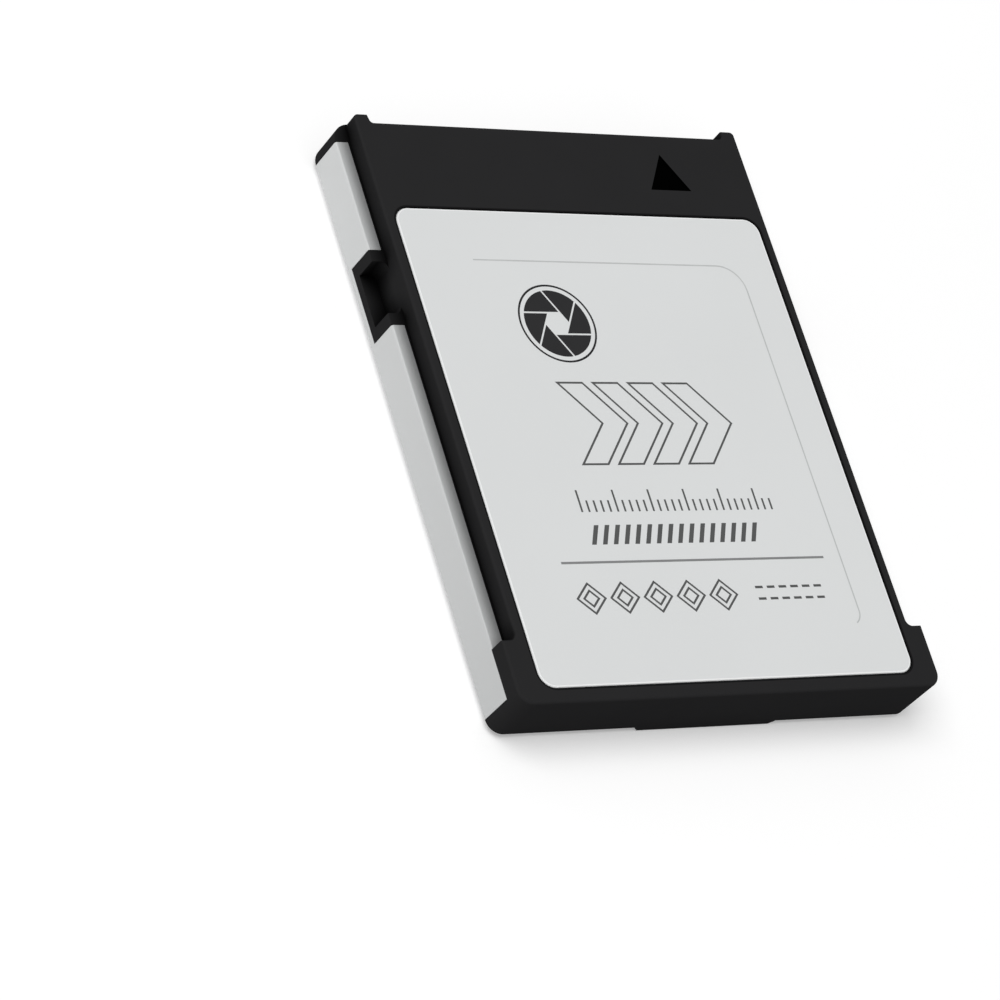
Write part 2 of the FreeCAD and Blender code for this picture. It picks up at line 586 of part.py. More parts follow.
def build_connector_housing():
    """The insulator: a box open to the mouth, with a slot for each contact and two arms under the board."""
    body = new_body("connector_housing")
    sketch = new_sketch(body, "box", "XY_Plane", FILM_TOP)
    rounded(sketch, BOARD_SIDE, HOUSING_REAR, HOUSING_FACE, "card.tool_radius")
    pad(body, sketch, f"{HOUSING_TOP} - {FILM_TOP}")

    sketch = new_sketch(body, "arms", "XY_Plane", FILM_TOP)
    behind = f"{HOUSING_REAR} - card.arm_length"
    within = f"{HOUSING_REAR} + card.tool_radius"
    inside = f"{BOARD_SIDE} - card.arm_width"
    arm = [(inside, behind), (BOARD_SIDE, behind), (BOARD_SIDE, within), (inside, within)]
    outline(sketch, arm)
    outline(sketch, mirror(arm))
    pad(body, sketch, f"{BOARD_UNDER} - {FILM_TOP}")
    sketch = new_sketch(body, "posts", "XY_Plane", BOARD_UNDER)
    circle(sketch, POST_X, POST_Y, "card.post_radius")
    circle(sketch, f"-{POST_X}", POST_Y, "card.post_radius")
    pad(body, sketch, "card.post_height")

    sketch = new_sketch(body, "blade_space", "XZ_Plane", f"-{HOUSING_FACE}")
    centred(sketch, BLADE_SIDE, BLADE_FLOOR, BLADE_TOP)
    pocket(body, sketch, "card.housing_length - card.housing_back_wall", along_normal=True)
    sketch = new_sketch(body, "contact_slot", "XZ_Plane", f"-{CONTACT_TIP}")
    left = f"-{FIRST_CONTACT} - card.contact_width / 2"
    right = f"-{FIRST_CONTACT} + card.contact_width / 2"
    rectangle(sketch, left, right, CONTACT_UNDER, BLADE_FLOOR)
    slot = pocket(body, sketch, f"{CONTACT_TIP} - {HOUSING_REAR}", along_normal=True)
    row(body, "contact_slots", [slot], "X_Axis", "card.contact_count", CONTACT_PITCH)


def build_connector_contacts():
    """The contacts: flat in the housing's floor, then up behind it to a tail soldered under the board."""
    body = new_body("connector_contacts")
    sketch = new_sketch(body, "profile", "YZ_Plane", f"-{FIRST_CONTACT} - card.contact_width / 2")
    rise_foot = f"({HOUSING_REAR} - card.contact_rise_gap)"
    rise_head = f"({rise_foot} - ({BOARD_UNDER} - {BLADE_FLOOR}))"
    tail_end = f"({rise_head} - card.contact_tail)"
    tail_under = f"({BOARD_UNDER} - card.contact_thickness)"
    miter = "card.contact_thickness * tan(22.5 deg)"
    outline(sketch, [
        (f"{CONTACT_TIP} - card.contact_thickness", BLADE_FLOOR),
        (rise_foot, BLADE_FLOOR),
        (rise_head, BOARD_UNDER),
        (tail_end, BOARD_UNDER),
        (tail_end, tail_under),
        (f"{rise_head} - {miter}", tail_under),
        (f"{rise_foot} - {miter}", CONTACT_UNDER),
        (CONTACT_TIP, CONTACT_UNDER),
        (CONTACT_TIP, f"{BLADE_FLOOR} - card.contact_thickness / 2"),
    ])
    contact = pad(body, sketch, "card.contact_width")
    row(body, "contacts", [contact], "X_Axis", "card.contact_count", CONTACT_PITCH)


def build_chip(name, x, y, width, length, height, below=False):
    """A moulded chip on the board, or upside down below it, with a dimple at its first contact."""
    level = BOARD_UNDER if below else BOARD_TOP
    body = new_body(name, x, y, level)
    if below:
        body.Placement.Rotation = FreeCAD.Rotation(FreeCAD.Vector(0, 1, 0), 180)
    sketch = new_sketch(body, "outline", "XY_Plane")
    centred(sketch, f"{width} / 2", f"-{length} / 2", f"{length} / 2")
    pad(body, sketch, height)
    sketch = new_sketch(body, "pin_mark", "XY_Plane", height)
    inset = "card.pin_mark_inset"
    circle(sketch, f"{inset} - {width} / 2", f"{inset} - {length} / 2", "card.pin_mark_radius")
    pocket(body, sketch, "card.pin_mark_depth", along_normal=False)


def build_small_parts(name, x, y, size, count, pitch, axis, metal_ends, below=False):
    """A row of like small parts; where they have metal ends, these lie along the parts' longer side."""
    width, length, height = size
    level = BOARD_UNDER if below else BOARD_TOP
    body = new_body(name, x, y, level)
    if below:
        body.Placement.Rotation = FreeCAD.Rotation(FreeCAD.Vector(0, 1, 0), 180)
    sketch = new_sketch(body, "outline", "XY_Plane")
    centred(sketch, f"{width} / 2", f"-{length} / 2", f"{length} / 2")
    originals = [pad(body, sketch, height)]
    if metal_ends:
        sketch = new_sketch(body, "ends", "XY_Plane")
        proud = f"({width} / 2 + card.cap_proud)"
        end = f"({length} / 2 + card.cap_proud)"
        rectangle(sketch, f"-{proud}", proud, f"{length} / 2 - card.cap_length", end)
        rectangle(sketch, f"-{proud}", proud, f"-{end}", f"card.cap_length - {length} / 2")
        originals.append(pad(body, sketch, f"{height} + card.cap_proud"))
    row(body, "row", originals, axis, count, pitch)


def build_thermal_pad(name, side, middle, length, bottom, top):
    """A soft pad that fills the gap between chips and the metal beside them."""
    block = doc.addObject("Part::Box", name)
    block.Label = name
    block.setExpression("Length", f"2 * {side}")
    block.setExpression("Width", length)
    block.setExpression("Height", f"{top} - {bottom}")
    block.setExpression("Placement.Base.x", f"-({side})")
    block.setExpression("Placement.Base.y", f"{middle} - {length} / 2 - {NOSE} / 2")
    block.setExpression("Placement.Base.z", f"{bottom} + card.ridge_height")


def build_electronics():
    """What the board carries on both of its faces."""
    flash = (FLASH_WIDTH, FLASH_LENGTH, "card.chip_height")
    build_chip("flash_chip_top_left", f"-{FLASH_X}", FLASH_Y, *flash)
    build_chip("flash_chip_top_right", FLASH_X, FLASH_Y, *flash)
    build_chip("flash_chip_bottom_left", f"-{FLASH_X}", FLASH_Y, *flash, below=True)
    build_chip("flash_chip_bottom_right", FLASH_X, FLASH_Y, *flash, below=True)
    controller = "card.controller_side"
    build_chip("controller_chip", "0", CONTROLLER_Y, controller, controller, "card.chip_height")

    # The power parts stand in the column on the left of the controller.
    regulator = "card.regulator_side"
    switch = "card.switch_side"
    switch_y = f"{CONTROLLER_Y} + {regulator} / 2 + card.part_spacing + {switch} / 2"
    inductor_y = f"{CONTROLLER_Y} - {regulator} / 2 - card.part_spacing - card.inductor_length / 2"
    build_chip("power_regulator", f"-{COLUMN_X}", CONTROLLER_Y, regulator, regulator, "card.regulator_height")
    build_chip("load_switch", f"-{COLUMN_X}", switch_y, switch, switch, "card.switch_height")
    first = f"-{COLUMN_X} - {INDUCTOR_COUNT - 1} * card.inductor_pitch / 2"
    size = ("card.inductor_width", "card.inductor_length", "card.inductor_height")
    build_small_parts(
        "inductors", first, inductor_y, size, INDUCTOR_COUNT, "card.inductor_pitch", "X_Axis", False
    )

    # The bulk capacitors and the clock crystal stand in the column on its right.
    size = ("card.bulk_length", "card.bulk_width", "card.bulk_height")
    build_small_parts(
        "bulk_capacitors", COLUMN_X, CONTROLLER_Y, size, BULK_COUNT, "card.bulk_pitch", "Y_Axis", False
    )
    crystal_y = f"{CONTROLLER_Y} - card.bulk_width / 2 - card.part_spacing - card.crystal_length / 2"
    crystal = ("card.crystal_width", "card.crystal_length", "card.crystal_height")
    build_chip("clock_crystal", COLUMN_X, crystal_y, *crystal)

    # The smallest parts stand in two rows under the controller.
    size = ("card.bypass_width", "card.bypass_length", "card.bypass_height")
    first = f"{BYPASS_COUNT - 1} * card.bypass_pitch / 2"
    row_y = f"{CONTROLLER_Y} - card.part_spacing / 2 - card.bypass_length / 2"
    build_small_parts(
        "bypass_capacitors", first, row_y, size, BYPASS_COUNT, "card.bypass_pitch", "X_Axis", True, below=True
    )
    size = ("card.resistor_width", "card.resistor_length", "card.resistor_height")
    first = f"{RESISTOR_COUNT - 1} * card.resistor_pitch / 2"
    row_y = f"{CONTROLLER_Y} + card.part_spacing / 2 + card.resistor_length / 2"
    build_small_parts(
        "resistors", first, row_y, size, RESISTOR_COUNT, "card.resistor_pitch", "X_Axis", True, below=True
    )

    # The pads that carry the chips' heat into the front plate and the shell.
    chip_top = f"({BOARD_TOP} + card.chip_height)"
    chip_under = f"({BOARD_UNDER} - card.chip_height)"
    flash_side = f"({FLASH_X} + {FLASH_WIDTH} / 2)"
    flash_span = (flash_side, FLASH_Y, FLASH_LENGTH)
    half = f"{controller} / 2"
    build_thermal_pad("controller_thermal_pad", half, CONTROLLER_Y, controller, chip_top, PLATE_BACK)
    build_thermal_pad("flash_thermal_pad_top", *flash_span, chip_top, PLATE_BACK)
    build_thermal_pad("flash_thermal_pad_bottom", *flash_span, FILM_TOP, chip_under)


def export_parts():
    """Checks every object, then writes each sub-part to a file named after it."""
    doc.recompute()
    for item in doc.Objects:
        if "Invalid" in item.State or "Error" in item.State:
            raise RuntimeError(f"{item.Name} failed: {item.State}")
    parts = [item for item in doc.Objects if item.TypeId in ("PartDesign::Body", "Part::Box")]
    for item in parts:
        if item.Shape.isNull() or not item.Shape.isValid():
            raise RuntimeError(f"{item.Label} has no sound shape")
    os.makedirs("parts", exist_ok=True)
    for item in parts:
        item.Shape.exportStep(f"parts/{item.Label}.step")
        print(f"{item.Label}: {len(item.Shape.Solids)} solids, {item.Shape.Volume:.2f} mm3")


build_frame()
build_back_shell()
build_front_plate()
build_plate_adhesive()
build_insulating_film()
build_circuit_board()
build_connector_housing()
build_connector_contacts()
build_electronics()
export_parts()
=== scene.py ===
import bpy
import bmesh
import math
from mathutils import Matrix, Vector


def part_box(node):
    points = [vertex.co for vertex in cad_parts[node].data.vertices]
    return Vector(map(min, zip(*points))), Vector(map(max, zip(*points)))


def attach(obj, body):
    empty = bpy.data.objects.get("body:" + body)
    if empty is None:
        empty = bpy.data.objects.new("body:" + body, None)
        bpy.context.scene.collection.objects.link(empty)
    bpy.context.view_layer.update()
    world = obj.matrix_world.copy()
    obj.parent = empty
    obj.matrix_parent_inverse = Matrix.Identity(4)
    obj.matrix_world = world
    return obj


bl_info = {
    "name": "Memory card studio",
    "version": (1, 0, 0),
    "blender": (4, 5, 0),
    "location": "3D View > Sidebar > Memory card",
    "description": "Gives a flat memory card its finishes, its plain print and a studio to lie in",
    "category": "Object",
}

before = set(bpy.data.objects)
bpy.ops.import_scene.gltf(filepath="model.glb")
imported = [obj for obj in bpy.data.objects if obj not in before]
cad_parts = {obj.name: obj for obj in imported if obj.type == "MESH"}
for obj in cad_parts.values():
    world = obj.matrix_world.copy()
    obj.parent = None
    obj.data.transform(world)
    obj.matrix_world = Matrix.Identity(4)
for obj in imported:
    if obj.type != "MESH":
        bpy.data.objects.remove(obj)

MM = 0.001
BODY = "root"

FRAME_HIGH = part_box("frame")[1]
PLATE_LOW, PLATE_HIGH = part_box("front_plate")
SHELL_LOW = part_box("back_shell")[0]

PLATE_CORNER = 1.0 * MM

# Where the lamp hangs, and how long its sides and the floor's half are, in metres.
LAMP_PLACE = Vector((-0.30, 0.08, 0.62))
LAMP_SIDE = 0.5
FLOOR_REACH = 1.2

# The pieces that share a finish.
CHIPS = (
    "controller_chip",
    "flash_chip_top_left",
    "flash_chip_top_right",
    "flash_chip_bottom_left",
    "flash_chip_bottom_right",
    "power_regulator",
    "load_switch",
)
THERMAL_PADS = ("controller_thermal_pad", "flash_thermal_pad_top", "flash_thermal_pad_bottom")

# The axes, as nodes and vectors count them.
ACROSS, ALONG, UP = 0, 1, 2


def colour(name, description, default):
    """A colour that the user can change."""
    return bpy.props.FloatVectorProperty(
        name=name, description=description, default=default, subtype="COLOR", size=3, min=0.0, max=1.0
    )


def length(name, description, default):
    """A length that the user can change. Its default is given in millimetres."""
    return bpy.props.FloatProperty(
        name=name, description=description, default=default * MM, unit="LENGTH", precision=6
    )


def angle(name, description, default):
    """An angle that the user can change. Its default is given in degrees."""
    return bpy.props.FloatProperty(
        name=name, description=description, default=math.radians(default), unit="ROTATION", subtype="ANGLE"
    )


def amount(name, description, default):
    """A plain number that the user can change."""
    return bpy.props.FloatProperty(name=name, description=description, default=default, min=0.0)


def count(name, description, default):
    """A whole number that the user can change."""
    return bpy.props.IntProperty(name=name, description=description, default=default, min=1)


class CardFinishes(bpy.types.PropertyGroup):
    """Colours and grain of the card's finishes."""

    plastic: colour("Frame", "Moulded black of the frame", (0.0243, 0.0242, 0.0250))
    # The deep black is painted shade, used in the frame's inner corners and in the arrow's recess.
    deep: colour("Deep black", "Insertion arrow and inner corners of the frame", (0.0006, 0.0006, 0.0006))
    shell: colour("Shell", "Satin sheet of the back and the sides", (0.64, 0.65, 0.65))
    plate: colour("Plate", "Blasted metal of the front plate", (0.715, 0.728, 0.728))
    # The plate rim is a painted highlight along the plate's edge.
    rim_highlight: colour("Plate rim", "Bright cut edge of the front plate", (0.88, 0.89, 0.89))
    housing: colour("Connector housing", "Moulded black of the connector", (0.02, 0.02, 0.021))
    contact: colour("Contacts", "Gold plating of the contacts", (0.85, 0.58, 0.22))
    board: colour("Board", "Solder resist of the circuit board", (0.012, 0.10, 0.045))
    mould: colour("Chips", "Mould compound of the chips", (0.03, 0.03, 0.034))
    ferrite: colour("Ferrite", "Body of the inductors", (0.11, 0.11, 0.115))
    ceramic: colour("Ceramic", "Body of the capacitors", (0.42, 0.30, 0.19))
    resistor: colour("Resistor", "Body of the resistors", (0.03, 0.03, 0.03))
    tin: colour("Tin", "Tinned ends of the small parts", (0.55, 0.54, 0.52))
    lid: colour("Crystal lid", "Plated lid of the clock crystal", (0.62, 0.60, 0.55))
    silicone: colour("Thermal pads", "Soft silicone of the thermal pads", (0.30, 0.36, 0.42))
    film: colour("Film", "Amber insulating film", (0.36, 0.20, 0.05))
    tape: colour("Adhesive", "Black double-sided film", (0.04, 0.04, 0.042))
    plastic_grain: length("Frame grain", "Size of the moulded grain", 0.09)
    metal_grain: length("Metal grain", "Size of the blasted grain", 0.05)
    # The rim width is that of the painted highlight along the plate's edge.
    rim_highlight_width: length("Rim width", "Width of the plate's bright cut edge", 0.12)
    # Recess shade and recess dark set a line of painted shade in the gap round the plate.
    recess_shade: length("Recess shade", "Width of the dark line round the plate", 0.16)
    # Flange shade and flange dark set the painted shade on the shell's flanges beside the frame.
    flange_reach: length("Flange shade", "How far the shade beside the frame reaches over the flange", 0.9)
    recess_dark: amount("Recess dark", "Share of the frame's shade left in the line round the plate", 0.45)
    flange_dark: amount("Flange dark", "Share of the shell's shade left beside the frame", 0.2)
    # Tail dark sets painted shade: the shell grows darker towards the tail.
    tail_dark: amount("Tail dark", "Share of the shell's shade left at the tail", 0.86)
    # Corner dark and corner reach set the painted shade in the frame's inner corners.
    corner_dark: amount("Corner dark", "How steeply an inner corner of the frame darkens", 3.0)
    edge_break: length("Edge break", "Radius that the light finds on a sharp edge", 0.03)
    corner_reach: length("Corner reach", "How far the dark of an inner corner reaches", 1.5)
    tinned_length: length("Tinned end", "Length of a tinned end", 0.26)


class CardPrint(bpy.types.PropertyGroup):
    """Sizes and colours of the plain print."""

    dark_ink: colour("Dark ink", "Ink of the iris", (0.022, 0.022, 0.023))
    grey_ink: colour("Grey ink", "Ink of the figures and the rows", (0.095, 0.097, 0.097))
    rule_ink: colour("Rule ink", "Ink of the rule", (0.24, 0.245, 0.245))
    faint_ink: colour("Faint ink", "Ink of the corner line", (0.52, 0.53, 0.53))
    thickness: length("Ink", "Thickness of the ink, half of it above the metal", 0.004)
    stroke: length("Stroke", "Width of a drawn line", 0.13)
    iris: length("Iris", "Radius of the iris", 2.25)
    blades: count("Blades", "Blades of the iris", 6)
    chevron_height: length("Chevron height", "Height of an outlined chevron", 5.4)
    chevron_arm: length("Chevron arm", "Width of an outlined chevron's arm", 1.75)
    chevrons: count("Chevrons", "Outlined chevrons in the row", 4)
    ticks: count("Ticks", "Ticks of the upper row", 28)
    bars: count("Bars", "Slanted bars of the lower row", 16)
    corner_radius: length("Line corner", "Round corner of the corner line", 1.7)


class CardStudio(bpy.types.PropertyGroup):
    """Camera and light."""

    heading: angle("Heading", "Direction the camera looks in, from across to along the card", 35.7446)
    pitch: angle("Pitch", "How far the camera looks down", 47.1011)
    roll: angle("Roll", "Turn of the camera about its line of sight", 44.7693)
    distance: length("Distance", "Camera to the point it aims at", 226.3214)
    aim_across: length("Aim across", "Aimed point, across the card", -12.0645)
    aim_along: length("Aim along", "Aimed point, along the card", -6.5495)
    lens: amount("Lens", "Focal length in millimetres on a 36 mm sensor", 145.4711)
    sky: amount("Sky", "Light from all round", 0.35)
    key: amount("Key", "Light of the large lamp on the card's front", 0.65)
    floor: amount("Floor lift", "What makes the pale floor look white", 0.29)
    floor_shade: colour("Floor", "Shade of the pale floor", (0.81, 0.81, 0.81))


def add(tree, kind, inputs=None, **settings):
    """A node with its settings and inputs. An input that is another node's output is linked."""
    made = tree.nodes.new(kind)
    for name, value in settings.items():
        setattr(made, name, value)
    for key, value in (inputs or {}).items():
        if isinstance(value, bpy.types.NodeSocket):
            tree.links.new(value, made.inputs[key])
        else:
            made.inputs[key].default_value = value
    return made


def calculate(tree, operation, first, second=0.0):
    """One step of arithmetic on numbers."""
    return add(tree, "ShaderNodeMath", {0: first, 1: second}, operation=operation).outputs[0]


def opaque(shade):
    """A colour of three numbers with its fourth."""
    return (*shade, 1.0)


def scaled(shade, factor):
    """A darker or lighter shade of a colour."""
    return tuple(min(1.0, part * factor) for part in shade)


def object_place(tree):
    """The place on the piece, in metres."""
    return add(tree, "ShaderNodeTexCoord").outputs["Object"]


def coordinate(tree, axis):
    """One coordinate of the place on the piece."""
    return add(tree, "ShaderNodeSeparateXYZ", {0: object_place(tree)}).outputs[axis]


def noise(tree, place, size):
    """Soft noise whose features are about as large as the size."""
    return add(tree, "ShaderNodeTexNoise", {"Vector": place, "Scale": 1.0 / size, "Detail": 3.0}).outputs[0]


def spread(tree, factor, low, high):
    """A number that runs from low to high as noise runs over its usual range."""
    inputs = {"Value": factor, "From Min": 0.25, "From Max": 0.75, "To Min": low, "To Max": high}
    return add(tree, "ShaderNodeMapRange", inputs).outputs[0]


def mixed(tree, factor, first, second):
    """Two colours or colour outputs, mixed by a factor."""
    return add(tree, "ShaderNodeMix", {0: factor, 6: first, 7: second}, data_type="RGBA").outputs[2]


def between(tree, number, low, high):
    """One where the number lies between two bounds, and nothing elsewhere."""
    above = calculate(tree, "GREATER_THAN", number, low)
    return calculate(tree, "MULTIPLY", above, calculate(tree, "LESS_THAN", number, high))


def grained(name, shade, patch, grain, depth, rough, metallic=0.0, contrast=0.1, edge=None, stretch=None):
    """A finish whose shade and roughness wander a little, with a fine grain in its relief.

    The patch and the grain are the sizes of the two patterns, the depth is that of the grain, the edge is
    the radius that light finds on a sharp edge, and the stretch squeezes the grain's axes.
    """
    made = bpy.data.materials.new(name)
    made.use_nodes = True
    tree = made.node_tree
    shader = tree.nodes["Principled BSDF"]
    place = object_place(tree)
    pattern = place
    if stretch:
        pattern = add(tree, "ShaderNodeMapping", {"Vector": place, "Scale": stretch}).outputs[0]
    fine = noise(tree, pattern, grain)
    wander = spread(tree, noise(tree, place, patch), 0.0, 1.0)
    low, high = scaled(shade, 1.0 - contrast), scaled(shade, 1.0 + contrast)
    tone = mixed(tree, wander, opaque(low), opaque(high))
    bump = {"Height": fine, "Distance": depth}
    if edge:
        bump["Normal"] = add(tree, "ShaderNodeBevel", {"Radius": edge}, samples=4).outputs[0]
    tree.links.new(tone, shader.inputs["Base Color"])
    tree.links.new(spread(tree, fine, rough * 0.93, rough * 1.07), shader.inputs["Roughness"])
    tree.links.new(add(tree, "ShaderNodeBump", bump).outputs[0], shader.inputs["Normal"])
    shader.inputs["Metallic"].default_value = metallic
    return made, tree, shader, tone


def corner_light(tree, reach, power):
    """One on an open face, falling to nothing in an inner corner of the same piece."""
    corners = add(tree, "ShaderNodeAmbientOcclusion", {"Distance": reach}, samples=8, only_local=True)
    return calculate(tree, "POWER", corners.outputs["AO"], power)


def facing_up(tree):
    """One on faces that look up, and nothing elsewhere."""
    normal = add(tree, "ShaderNodeNewGeometry").outputs["True Normal"]
    height = add(tree, "ShaderNodeSeparateXYZ", {0: normal}).outputs[UP]
    return calculate(tree, "GREATER_THAN", height, 0.5)


def beside_plate(tree, inside, outside):
    """One in a band along the plate's outline, which reaches so far inside and outside it."""
    any_height = 1.0
    middle = (PLATE_LOW + PLATE_HIGH) / 2
    straight = (PLATE_HIGH - PLATE_LOW) / 2 - Vector((PLATE_CORNER, PLATE_CORNER, -any_height))
    place = object_place(tree)
    for operation, second in (("SUBTRACT", middle), ("ABSOLUTE", middle), ("SUBTRACT", straight)):
        place = add(tree, "ShaderNodeVectorMath", {0: place, 1: second}, operation=operation).outputs[0]
    beyond = add(tree, "ShaderNodeVectorMath", {0: place, 1: (0.0, 0.0, 0.0)}, operation="MAXIMUM").outputs[0]
    away = add(tree, "ShaderNodeVectorMath", {0: beyond}, operation="LENGTH").outputs["Value"]
    return between(tree, away, PLATE_CORNER - inside, PLATE_CORNER + outside)


def arrow_mask(tree):
    """One in the recess of the insertion arrow, between the front plate and the connector end."""
    near_plate, before_end, side = 1.0 * MM, 1.5 * MM, 12.0 * MM
    shallow, deep = 0.03 * MM, 0.30 * MM
    across = between(tree, coordinate(tree, ACROSS), -side, side)
    along = between(tree, coordinate(tree, ALONG), PLATE_HIGH.y + near_plate, FRAME_HIGH.y - before_end)
    height = between(tree, coordinate(tree, UP), FRAME_HIGH.z - deep, FRAME_HIGH.z - shallow)
    return calculate(tree, "MULTIPLY", calculate(tree, "MULTIPLY", across, along), height)


def moulded_black(looks):
    """Matt black moulding, with painted shade in its inner corners, round the plate and in the arrow's
    recess.
    """
    made, tree, shader, tone = grained(
        "moulded_black", looks.plastic, 4.0 * MM, looks.plastic_grain, 0.003 * MM, 0.6, contrast=0.03,
        edge=looks.edge_break,
    )
    deep = opaque(looks.deep)
    # Painted shade in the gap round the plate.
    recess = beside_plate(tree, 0.0, looks.recess_shade)
    tone = mixed(tree, recess, tone, opaque(scaled(looks.plastic, looks.recess_dark)))
    # Painted shade: the frame's inner corners darken to the deep black.
    tone = mixed(tree, corner_light(tree, looks.corner_reach, looks.corner_dark), deep, tone)
    # Painted shade: the arrow's recess is filled with the deep black.
    tone = mixed(tree, arrow_mask(tree), tone, deep)
    tree.links.new(tone, shader.inputs["Base Color"])
    shader.inputs["Specular IOR Level"].default_value = 0.0
    return made


def satin_shell(looks):
    """Satin sheet metal with a faint rolled grain along the card, with painted shade on its flanges beside
    the frame and towards the tail.
    """
    made, tree, shader, tone = grained(
        "satin_shell", looks.shell, 9.0 * MM, looks.metal_grain, 0.0006 * MM, 0.42, metallic=0.6,
        contrast=0.02, edge=looks.edge_break, stretch=(1.0, 0.15, 1.0),
    )
    # Painted shade: the shell darkens towards the tail.
    reach = {"Value": coordinate(tree, ALONG), "From Min": SHELL_LOW.y, "From Max": -SHELL_LOW.y}
    from_tail = add(tree, "ShaderNodeMapRange", reach).outputs[0]
    tone = mixed(tree, from_tail, opaque(scaled(looks.shell, looks.tail_dark)), tone)
    # Painted shade on the flanges' upward faces beside the frame.
    corners = add(tree, "ShaderNodeAmbientOcclusion", {"Distance": looks.flange_reach}, samples=8)
    elsewhere = calculate(tree, "SUBTRACT", 1.0, facing_up(tree))
    open_light = calculate(tree, "MAXIMUM", corners.outputs["AO"], elsewhere)
    shade = mixed(tree, open_light, opaque(scaled(looks.shell, looks.flange_dark)), tone)
    tree.links.new(shade, shader.inputs["Base Color"])
    return made


def blasted_plate(looks):
    """Finely blasted pale metal with a painted highlight along its edge."""
    made, tree, shader, tone = grained(
        "blasted_plate", looks.plate, 12.0 * MM, looks.metal_grain, 0.001 * MM, 0.45, metallic=0.6,
        contrast=0.012,
    )
    # Painted highlight along the plate's edge.
    rim_highlight = beside_plate(tree, looks.rim_highlight_width, 0.0)
    tree.links.new(mixed(tree, rim_highlight, tone, opaque(looks.rim_highlight)), shader.inputs["Base Color"])
    return made


def board_finish(looks):
    """Green solder resist with the faint lines of the tracks under it."""
    made, tree, shader, tone = grained(
        "board_resist", looks.board, 5.0 * MM, 0.2 * MM, 0.002 * MM, 0.35, contrast=0.15
    )
    inputs = {"Vector": object_place(tree), "Scale": 1.0 / (1.6 * MM), "Distortion": 4.0}
    tracks = add(tree, "ShaderNodeTexWave", inputs).outputs[1]
    track = calculate(tree, "GREATER_THAN", tracks, 0.8)
    tree.links.new(mixed(tree, track, tone, opaque(scaled(looks.board, 1.9))), shader.inputs["Base Color"])
    return made


def tinned_ends(name, node, axis, shade, looks):
    """A row of small parts with tinned ends, which are masked by how far they lie from the row's middle."""
    made, tree, shader, tone = grained(name, shade, 0.5 * MM, 0.05 * MM, 0.001 * MM, 0.5, contrast=0.15)
    low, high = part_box(node)
    middle = (low[axis] + high[axis]) / 2
    reach = (high[axis] - low[axis]) / 2 - looks.tinned_length
    away = calculate(tree, "ABSOLUTE", calculate(tree, "SUBTRACT", coordinate(tree, axis), middle))
    end = calculate(tree, "GREATER_THAN", away, reach)
    tree.links.new(mixed(tree, end, tone, opaque(looks.tin)), shader.inputs["Base Color"])
    tree.links.new(end, shader.inputs["Metallic"])
    return made


def dress(finish, *nodes):
    """Gives pieces of the frame their finish."""
    for node in nodes:
        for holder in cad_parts[node].material_slots:
            holder.material = finish


def ink(name, shade):
    """Matt printed ink."""
    if name in bpy.data.materials:
        return bpy.data.materials[name]
    made, tree, shader, tone = grained(name, shade, 1.5 * MM, 0.04 * MM, 0.0004 * MM, 0.6, contrast=0.05)
    shader.inputs["Specular IOR Level"].default_value = 0.1
    return made


def slab(mesh, points, thickness):
    """A flat closed slab over an outline that runs anticlockwise, its foot at nought."""
    top = [mesh.verts.new((*point, thickness)) for point in points]
    foot = [mesh.verts.new((*point, 0.0)) for point in points]
    mesh.faces.new(top)
    mesh.faces.new(foot[::-1])
    for number, corner in enumerate(top):
        mesh.faces.new((foot[number - 1], foot[number], corner, top[number - 1]))


def moved_aside(points, distance, closed):
    """A path moved to its left, with mitred corners."""
    ways = [ahead - here for here, ahead in zip(points, points[1:] + points[:1])]
    moved = []
    for number, point in enumerate(points):
        before, after = ways[number - 1], ways[number]
        if not closed and number == 0:
            before = after
        if not closed and number == len(points) - 1:
            after = before
        sides = [Vector((-way.y, way.x)).normalized() for way in (before, after)]
        corner = (sides[0] + sides[1]).normalized()
        moved.append(point + corner * (distance / corner.dot(sides[0])))
    return moved


def drawn_line(mesh, points, width, thickness, closed=False):
    """A flat closed band of even width along a path."""
    points = [Vector(point) for point in points]
    lefts = moved_aside(points, width / 2, closed)
    rights = moved_aside(points, -width / 2, closed)
    rings = []
    for left, right in zip(lefts, rights):
        corners = ((right, 0.0), (right, thickness), (left, thickness), (left, 0.0))
        rings.append([mesh.verts.new((*spot, height)) for spot, height in corners])
    spans = list(zip(rings, rings[1:]))
    if closed:
        spans.append((rings[-1], rings[0]))
    else:
        mesh.faces.new(rings[0])
        mesh.faces.new(rings[-1][::-1])
    for near, far in spans:
        for number in range(4):
            mesh.faces.new((near[number - 1], far[number - 1], far[number], near[number]))


def arc(middle, radius, start, end, steps):
    """Points on an arc from one angle to another, in radians."""
    turns = [start + (end - start) * step / steps for step in range(steps + 1)]
    return [(middle[0] + radius * math.cos(turn), middle[1] + radius * math.sin(turn)) for turn in turns]


def new_shape(name, mesh):
    """An object at the origin that holds a drawn mesh, with its faces outwards."""
    bmesh.ops.recalc_face_normals(mesh, faces=mesh.faces)
    data = bpy.data.meshes.new(name)
    mesh.to_mesh(data)
    mesh.free()
    shape = bpy.data.objects.new(name, data)
    bpy.context.scene.collection.objects.link(shape)
    return shape


